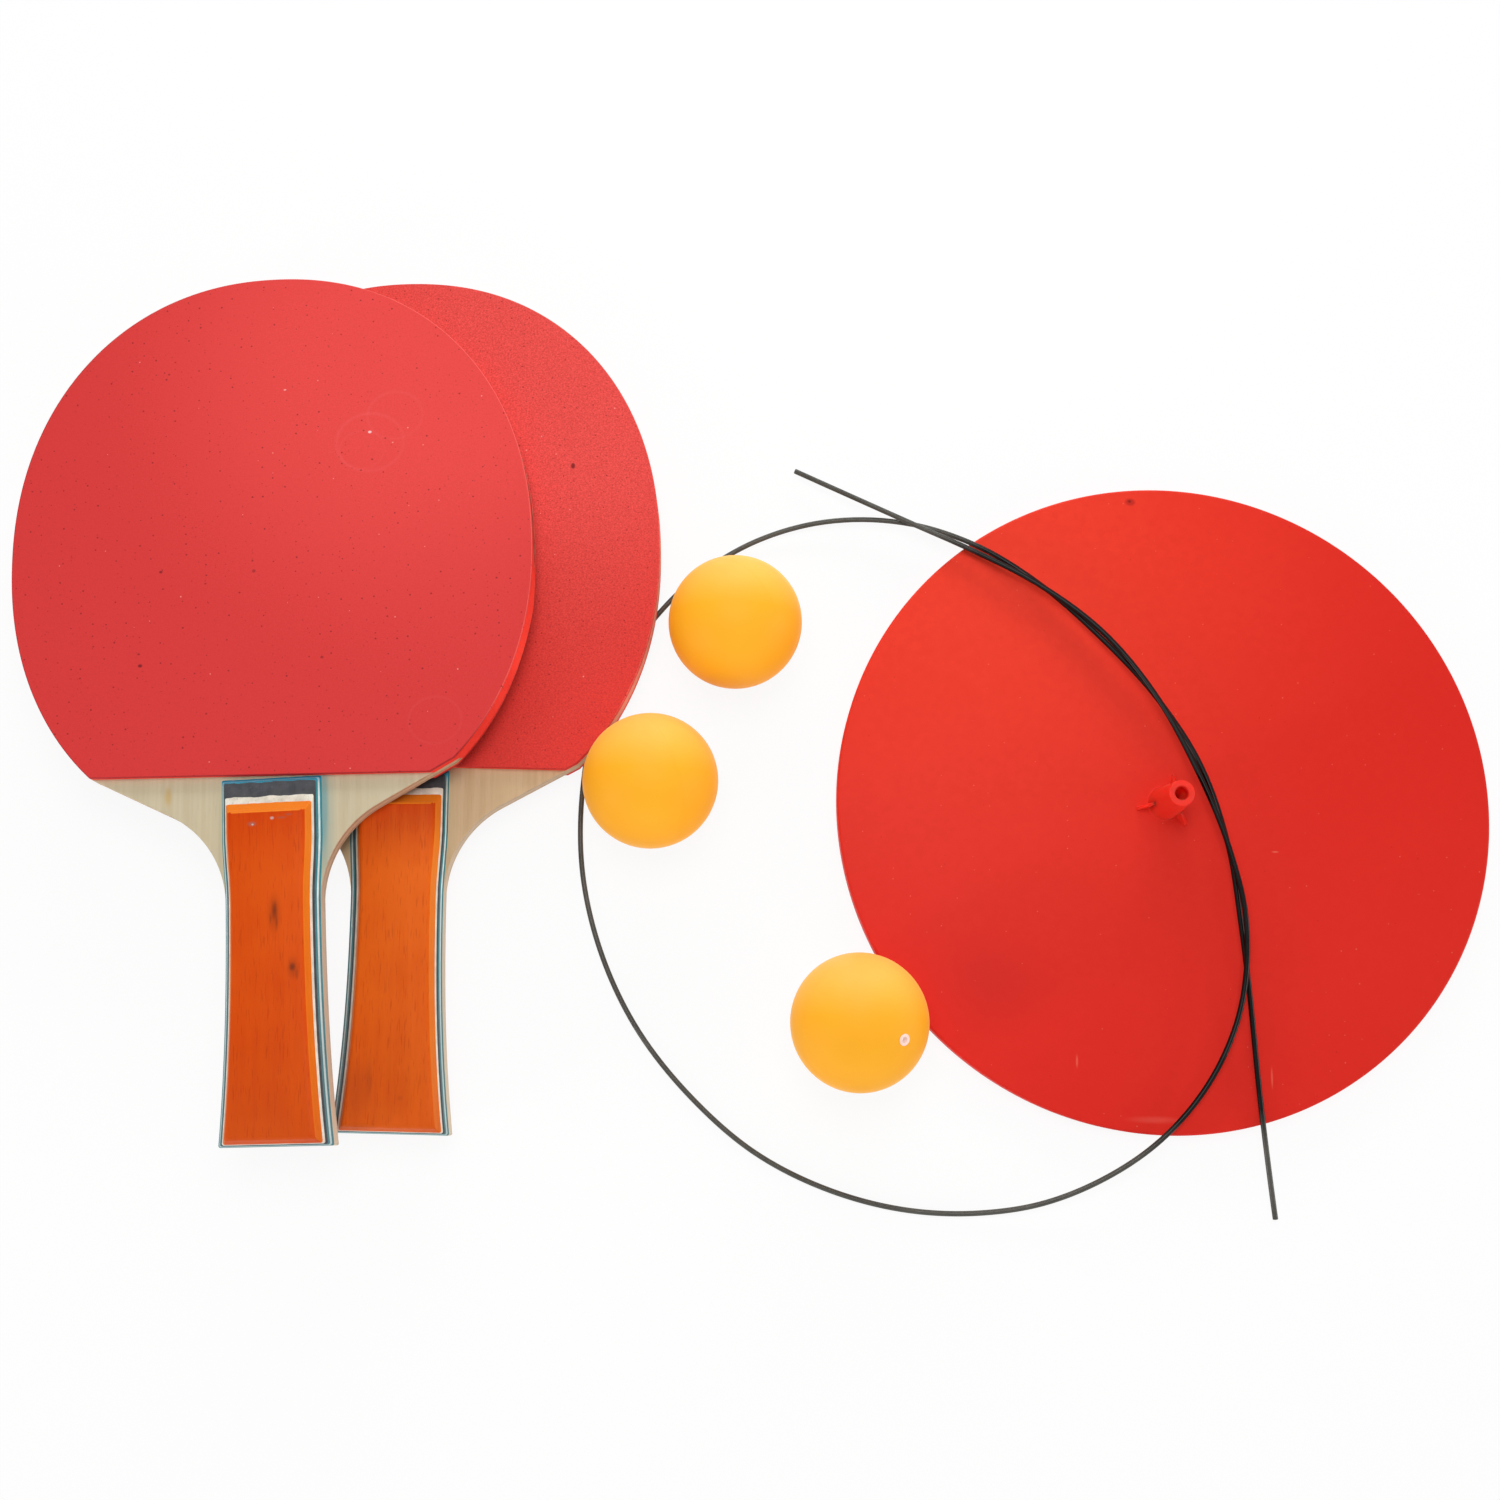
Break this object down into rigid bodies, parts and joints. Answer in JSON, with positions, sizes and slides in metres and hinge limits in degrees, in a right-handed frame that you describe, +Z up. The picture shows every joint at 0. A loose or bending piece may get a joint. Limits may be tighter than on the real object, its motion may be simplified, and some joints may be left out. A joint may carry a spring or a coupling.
{
  "type": "table tennis trainer",
  "caption": "Table tennis trainer set laid flat: weighted disc base with a socket post, long springy shaft, balls with shaft bushes and laminated paddles.",
  "frame": {"origin": "centre of the base's underside, on the floor that the set lies on", "axes": "+Z up along the socket post; +X from the paddles towards the base; +Y from the handles towards the blades"},
  "size_m": [0.4462, 0.2844, 0.04],
  "materials": {
    "red_plastic": "satin moulded red plastic",
    "ballast_steel": "plain steel plate",
    "foot_pad": "matt black rubber sheet",
    "black_shaft": "smooth black springy rod",
    "ball_orange": "matt orange celluloid-like plastic",
    "bush_white": "white plastic",
    "ply_core": "bare wood",
    "ply_cross": "bare wood, cross grain",
    "lower_face_ply": "bare tan wood",
    "upper_face_ply": "bare pale wood",
    "sponge": "orange-red cellular rubber, firm",
    "lower_rubber": "matt grainy red rubber",
    "upper_rubber": "matt red rubber",
    "veneer_teal": "dyed teal veneer",
    "veneer_pale": "pale blue-grey veneer",
    "veneer_charcoal": "dyed charcoal veneer",
    "veneer_cream": "cream veneer",
    "grip_orange": "dyed orange wood, waxed"
  },
  "bodies": {
    "base": {"base_cover": "red_plastic", "ballast_plate": "ballast_steel", "foot_pad": "foot_pad"},
    "shaft": {"flex_shaft": "black_shaft"},
    "ball_1": {"ball_1_socket_half": "ball_orange", "ball_1_closed_half": "ball_orange", "ball_1_bush": "bush_white"},
    "ball_2": {"ball_2_socket_half": "ball_orange", "ball_2_closed_half": "ball_orange", "ball_2_bush": "bush_white"},
    "ball_3": {"ball_3_socket_half": "ball_orange", "ball_3_closed_half": "ball_orange", "ball_3_bush": "bush_white"},
    "lower_paddle": {"lower_blade_core": "ply_core", "lower_cross_plies": "ply_cross", "lower_face_plies": "lower_face_ply", "lower_front_sponge": "sponge", "lower_front_rubber": "lower_rubber", "lower_back_sponge": "sponge", "lower_back_rubber": "lower_rubber", "lower_teal_veneers": "veneer_teal", "lower_pale_veneers": "veneer_pale", "lower_charcoal_veneers": "veneer_charcoal", "lower_cream_veneers": "veneer_cream", "lower_front_scale": "grip_orange", "lower_back_scale": "grip_orange"},
    "upper_paddle": {"upper_blade_core": "ply_core", "upper_cross_plies": "ply_cross", "upper_face_plies": "upper_face_ply", "upper_front_sponge": "sponge", "upper_front_rubber": "upper_rubber", "upper_back_sponge": "sponge", "upper_back_rubber": "upper_rubber", "upper_teal_veneers": "veneer_teal", "upper_pale_veneers": "veneer_pale", "upper_charcoal_veneers": "veneer_charcoal", "upper_cream_veneers": "veneer_cream", "upper_front_scale": "grip_orange", "upper_back_scale": "grip_orange"}
  },
  "joints": [
    {"name": "shaft_lift", "type": "slide", "parent": "base", "child": "shaft", "axis": [0, 0, 1], "range_m": [0, 0.06]},
    {"name": "lower_paddle_lift", "type": "slide", "parent": "shaft", "child": "lower_paddle", "axis": [0, 0, 1], "range_m": [0, 0.06]},
    {"name": "upper_paddle_lift", "type": "slide", "parent": "lower_paddle", "child": "upper_paddle", "axis": [0, 0, 1], "range_m": [0, 0.06]},
    {"name": "ball_1_lift", "type": "slide", "parent": "base", "child": "ball_1", "axis": [0, 0, 1], "range_m": [0, 0.08]},
    {"name": "ball_2_lift", "type": "slide", "parent": "base", "child": "ball_2", "axis": [0, 0, 1], "range_m": [0, 0.08]},
    {"name": "ball_3_lift", "type": "slide", "parent": "base", "child": "ball_3", "axis": [0, 0, 1], "range_m": [0, 0.08]}
  ]
}
